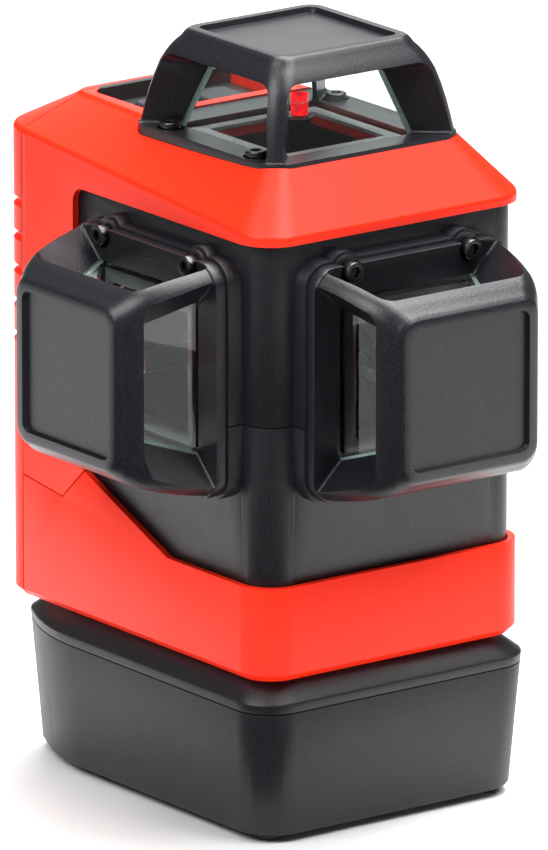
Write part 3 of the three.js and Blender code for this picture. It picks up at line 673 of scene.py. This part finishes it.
def housing():
    """The charcoal housing: a tub with collars where the front and side cages sit."""
    def outline(grow):
        side = HALF + grow
        corners = [(-side, -side, CORNER + grow), (side, -side, CORNER + grow)]
        corners += [(side, SEAM_Y + grow, 4), (-side, SEAM_Y + grow, 4)]
        return rounded_outline(corners, 10)
    wall = HOUSING_WALL
    inner = prism(outline(-HOUSING_INSET - wall), HOUSING_FLOOR + wall, HOUSING_TOP + 5)
    tub = cut(prism(outline(-HOUSING_INSET), HOUSING_FLOOR, HOUSING_TOP), inner)
    collars, wells = [], []
    for name in ("front", "side"):
        collars.append(moved(lobed_plate(name, 0.8, -3, COLLAR_TOP), WINDOWS[name]))
        well = box(-WELL_HALF, -WELL_HALF, -10, WELL_HALF, WELL_HALF, 10)
        wells.append(moved(well, WINDOWS[name]))
    bay = box(-29, 50, 59, 29, REAR, 133)
    neck = rod(SPIGOT_NECK + GAP, HOUSING_FLOOR - 1, HOUSING_FLOOR + 5)
    slot_y = (low("lock_switch").y + high("lock_switch").y) / 2
    slot_z = (low("lock_switch").z + high("lock_switch").z) / 2
    slot = box(HALF - 10, slot_y - 3.3, slot_z - 2.3, HALF + 5, slot_y + 12.3, slot_z + 2.3)
    return cut(join(tub, *collars), *wells, bay, neck, slot)


def show_body():
    show("top_shell", top_shell(), RED, edge=None)
    show("lower_band", lower_band(), RED)
    whole = housing()
    above = box(-BEYOND, -BEYOND, SEAM_Z - GAP / 2, BEYOND, BEYOND, 250)
    below = box(-BEYOND, -BEYOND, 0, BEYOND, BEYOND, SEAM_Z + GAP / 2)
    show("housing_lower", cut(whole.copy(), above), CHARCOAL)
    show("housing_upper", cut(whole, below), CHARCOAL)


# ---- Rear cover and battery door ----
DOOR_HALF = high("battery_door").x - 2.4
DOOR_TOP = high("battery_door").z
DOOR_THICKNESS = 3.8
DOOR_GAP = 0.4
HINGE = Vector(JOINTS["battery_door_hinge"]["pos_m"])
HINGE_Y = (HINGE.y - PLUMB.y) / MM
HINGE_Z = HINGE.z / MM
GRIP_TOP, GRIP_PITCH, GRIP_COUNT, GRIP_DEPTH, GRIP_HEIGHT = 150, 9.1, 5, 1.3, 2.6


def grip_groove(z):
    slab = box(-60, SEAM_Y, z - GRIP_HEIGHT / 2, 60, 90, z + GRIP_HEIGHT / 2)
    levels = []
    for step in range(9):
        share = step / 4 - 1
        grow = -GRIP_DEPTH * math.cos(share * math.pi / 2) + 0.1
        levels.append((z + share * (GRIP_HEIGHT / 2 + 0.1), body_outline(grow, CORNER + grow)))
    return cut(slab, loft(levels), box(-33.5, SEAM_Y - 1, z - 5, 33.5, 90, z + 5))


def rear_cover():
    front = box(-BEYOND, -BEYOND, 0, BEYOND, SEAM_Y + GAP / 2, 250)
    shell = cut(red_body(), red_hollow(BODY_BOTTOM + COVER_WALL, COVER_WALL, COVER_WALL))
    bottom = HINGE_Z - DOOR_THICKNESS / 2
    rim = box(-DOOR_HALF - 3, REAR - 6, bottom - 3, DOOR_HALF + 3, REAR - 1, DOOR_TOP + 3)
    half = DOOR_HALF + DOOR_GAP
    doorway = box(-half, SEAM_Y - 5, bottom - DOOR_GAP, half, REAR + 1, DOOR_TOP + DOOR_GAP)
    grooves = [grip_groove(GRIP_TOP - i * GRIP_PITCH) for i in range(GRIP_COUNT)]
    return cut(join(shell, rim), front, doorway, *grooves)


def battery_door():
    slab = box(-DOOR_HALF, REAR - DOOR_THICKNESS, HINGE_Z, DOOR_HALF, REAR, DOOR_TOP)
    barrel = shifted(along_x(rod(DOOR_THICKNESS / 2, -DOOR_HALF, DOOR_HALF)), 0, HINGE_Y, HINGE_Z)
    pivots = shifted(along_x(rod(0.8, -DOOR_HALF - 2.4, DOOR_HALF + 2.4, 16)), 0, HINGE_Y, HINGE_Z)
    notch = box(-9, REAR - 1.6, DOOR_TOP - 7, 9, REAR + 1, DOOR_TOP + 1)
    grooves = []
    for i in range(3):
        top = DOOR_TOP - 14.8 - 6 * i
        grooves.append(box(-24, REAR - 0.5, top - 1.2, 24, REAR + 1, top))
    return cut(join(slab, barrel, pivots), notch, *grooves)


def show_rear():
    show("rear_cover", rear_cover(), RED, edge=None)
    show("battery_door", battery_door(), CHARCOAL, edge=None)


# ---- Keypad ----
def keypad_bezel():
    bottom, top = low("keypad_bezel").z, high("keypad_bezel").z
    outline = keypad_outline(-GAP, 2.7)
    block = shifted(prism(outline, bottom, top), 0, -GAP, 0)
    bed = rounded_rectangle(-40, 20, 40, KEYPAD_REAR - 2.8, 2, 4)
    holes = []
    for node in ("button_power", "button_lines"):
        a, b = low(node), high(node)
        outline = rounded_rectangle(a.x - GAP, a.y - GAP, b.x + GAP, b.y + GAP, 3, 6)
        holes.append(prism(outline, bottom - 1, top))
    return cut(block, prism(bed, KEYPAD_PLATE, top + 1), *holes)


def button(node):
    a, b = low(node), high(node)
    levels = []
    for step in range(7):
        angle = math.radians(15 * step)
        inset = 1.1 * (1 - math.cos(angle))
        z = b.z - 1.1 * (1 - math.sin(angle))
        sides = (a.x + inset, a.y + inset, b.x - inset, b.y - inset)
        levels.append((z, rounded_rectangle(*sides, 3 - inset, 6)))
    levels.insert(0, (a.z, levels[0][1]))
    middle = (a + b) / 2
    dish = turned([(0.6, 0), (2.4, 0.35), (3.4, 0.8)])
    return cut(loft(levels), shifted(dish, middle.x, middle.y, b.z - 0.35))


def show_keypad():
    show("keypad_bezel", keypad_bezel(), BLACK, edge=0.4)
    for node in ("button_power", "button_lines"):
        show(node, button(node), KEYS, edge=0.1)


# ---- Base ----
BASE_BOTTOM = 2
RING_FACE = low("base_tray").z
BASE_SPLIT = high("base_tray").z + GAP / 2
BASE_TOP = high("base_cover").z
BASE_SHOULDER = 38.2
BASE_LIP = high("base_cover").x - HALF
BASE_REAR = high("base_cover").y - BASE_LIP
BASE_WALL = 2.6
TRIPOD_RADIUS, TRIPOD_DEPTH, TRIPOD_BOSS = 7.94, 12, 12
BEARING_RADIUS = 9.5


def base_outline(grow):
    side = HALF + grow
    rear = BASE_REAR + grow
    turn = 50 + grow
    rear_half = side - (rear - turn) * math.tan(math.radians(26))
    corners = [(-side, -side, 11), (side, -side, 11), (side, turn, 54)]
    corners += [(rear_half, rear, 8), (-rear_half, rear, 8), (-side, turn, 54)]
    return rounded_outline(corners, 10)


def base_grow(z):
    """The base wall leans out from the foot to the shoulder."""
    foot = -0.9
    share = (z - BASE_BOTTOM) / (BASE_SHOULDER - BASE_BOTTOM)
    return foot + share * (BASE_LIP - foot)


def base_tray():
    split = BASE_SPLIT - GAP / 2
    floor = BASE_BOTTOM + BASE_WALL
    levels = [(BASE_BOTTOM, base_outline(base_grow(BASE_BOTTOM) - 0.8))]
    levels.append((BASE_BOTTOM + 0.3, base_outline(base_grow(BASE_BOTTOM) - 0.25)))
    levels.append((BASE_BOTTOM + 0.9, base_outline(base_grow(BASE_BOTTOM + 0.9))))
    levels.append((split, base_outline(base_grow(split))))
    inner = loft([
        (floor, base_outline(base_grow(floor) - BASE_WALL)),
        (split + 1, base_outline(base_grow(split + 1) - BASE_WALL)),
    ])
    boss = rod(TRIPOD_BOSS, RING_FACE, BASE_BOTTOM + TRIPOD_DEPTH + BASE_WALL)
    bore = rod(TRIPOD_RADIUS, 0, BASE_BOTTOM + TRIPOD_DEPTH, 64)
    return cut(join(cut(loft(levels), inner), boss), bore)


def base_cover():
    split = BASE_SPLIT + GAP / 2
    outer = loft([
        (split, base_outline(base_grow(split))),
        (BASE_SHOULDER - 0.3, base_outline(BASE_LIP)),
        (BASE_SHOULDER + 0.2, base_outline(BASE_LIP - 0.2)),
        (BASE_TOP, base_outline(-4.2)),
    ])
    inner = loft([
        (split - 1, base_outline(base_grow(split) - BASE_WALL)),
        (BASE_SHOULDER, base_outline(BASE_LIP - BASE_WALL)),
        (BASE_TOP - BASE_WALL, base_outline(-4.8)),
    ])
    return cut(outer, inner, rod(BEARING_RADIUS, BASE_SPLIT, BASE_TOP + 5, 64))


def foot():
    seat = BASE_BOTTOM - GAP
    return turned([(2.2, 0), (3.2, 0.25), (3.9, 0.8), (4.2, seat), (2, seat), (2, 5.4)])


def show_base():
    show("base_tray", base_tray(), CHARCOAL)
    show("base_cover", base_cover(), CHARCOAL, edge=0.25)
    for number in range(1, 5):
        node = f"foot_{number}"
        middle = (low(node) + high(node)) / 2
        show(node, foot(), RUBBER, edge=0, place=Matrix.Translation((middle.x, middle.y, 0)))


# ---- Floor, light and camera ----
def make_floor():
    bpy.ops.mesh.primitive_plane_add(size=14, location=(0, 0, 0))
    floor = bpy.context.object
    floor.name = "floor"
    material, nodes, links = new_material("floor")
    shader = nodes["Principled BSDF"]
    shader.inputs["Roughness"].default_value = 0.6
    shade = ramp(nodes, links, noise(nodes, links, 3), (0.84,) * 3, (0.86,) * 3)
    links.new(shade, shader.inputs["Base Color"])
    floor.data.materials.append(material)


def make_flag():
    """A black card in front of the near corner, seen only in reflections, to shape the edges."""
    bpy.ops.mesh.primitive_plane_add(size=1, location=(-0.45, -0.34, 0.004))
    flag = bpy.context.object
    flag.name = "flag"
    flag.scale = (0.72, 1.0, 1)
    flag.rotation_euler.z = math.radians(-53)
    flag.visible_camera = False
    flag.visible_diffuse = False
    flag.visible_shadow = False
    flag.visible_transmission = False
    material, nodes, links = new_material("flag")
    shader = nodes["Principled BSDF"]
    shade = ramp(nodes, links, noise(nodes, links, 5), (0.004,) * 3, (0.006,) * 3)
    links.new(shade, shader.inputs["Base Color"])
    shader.inputs["Specular IOR Level"].default_value = 0
    flag.data.materials.append(material)


def area_light(name, azimuth, elevation, distance, size, power):
    a, e = math.radians(azimuth), math.radians(elevation)
    back = Vector((math.sin(a) * math.cos(e), -math.cos(a) * math.cos(e), math.sin(e)))
    data = bpy.data.lights.new(name, "AREA")
    data.size = size
    data.energy = power
    lamp = bpy.data.objects.new(name, data)
    lamp.location = Vector((0, 0, 0.1)) + back * distance
    lamp.rotation_mode = "QUATERNION"
    lamp.rotation_quaternion = (-back).to_track_quat("-Z", "Y")
    SCENE.collection.objects.link(lamp)


def make_light():
    world = bpy.data.worlds.new("studio")
    SCENE.world = world
    world.use_nodes = True
    background = world.node_tree.nodes["Background"]
    background.inputs["Color"].default_value = (1, 1, 1, 1)
    background.inputs["Strength"].default_value = 0.16
    area_light("overhead", 120, 72, 1.5, 1.2, 46)
    area_light("left", -84, 46, 1.5, 0.9, 17)
    area_light("right", 30, 58, 1.5, 0.9, 19)
    area_light("back", 143, 22, 1.5, 0.8, 2.6)
    SCENE.view_settings.view_transform = "Standard"


def make_camera():
    azimuth, elevation = math.radians(-36.654), math.radians(15.67)
    distance = 3637.1
    aside, above = -6.013, -12.803
    right = Vector((math.cos(azimuth), math.sin(azimuth), 0))
    back = Vector((
        math.sin(azimuth) * math.cos(elevation),
        -math.cos(azimuth) * math.cos(elevation),
        math.sin(elevation),
    ))
    up = back.cross(right)
    target = PLUMB + Vector((0, 0, 110)) * MM
    data = bpy.data.cameras.new("camera")
    data.lens = 594.6
    data.clip_start = 0.1
    data.clip_end = 50
    camera = bpy.data.objects.new("camera", data)
    camera.location = target + (right * aside + up * above + back * distance) * MM
    camera.rotation_mode = "QUATERNION"
    camera.rotation_quaternion = Matrix((right, up, back)).transposed().to_quaternion()
    SCENE.collection.objects.link(camera)
    SCENE.camera = camera


make_camera()
make_light()
make_floor()
make_flag()
show_windows()
show_body()
show_rear()
show_keypad()
show_base()
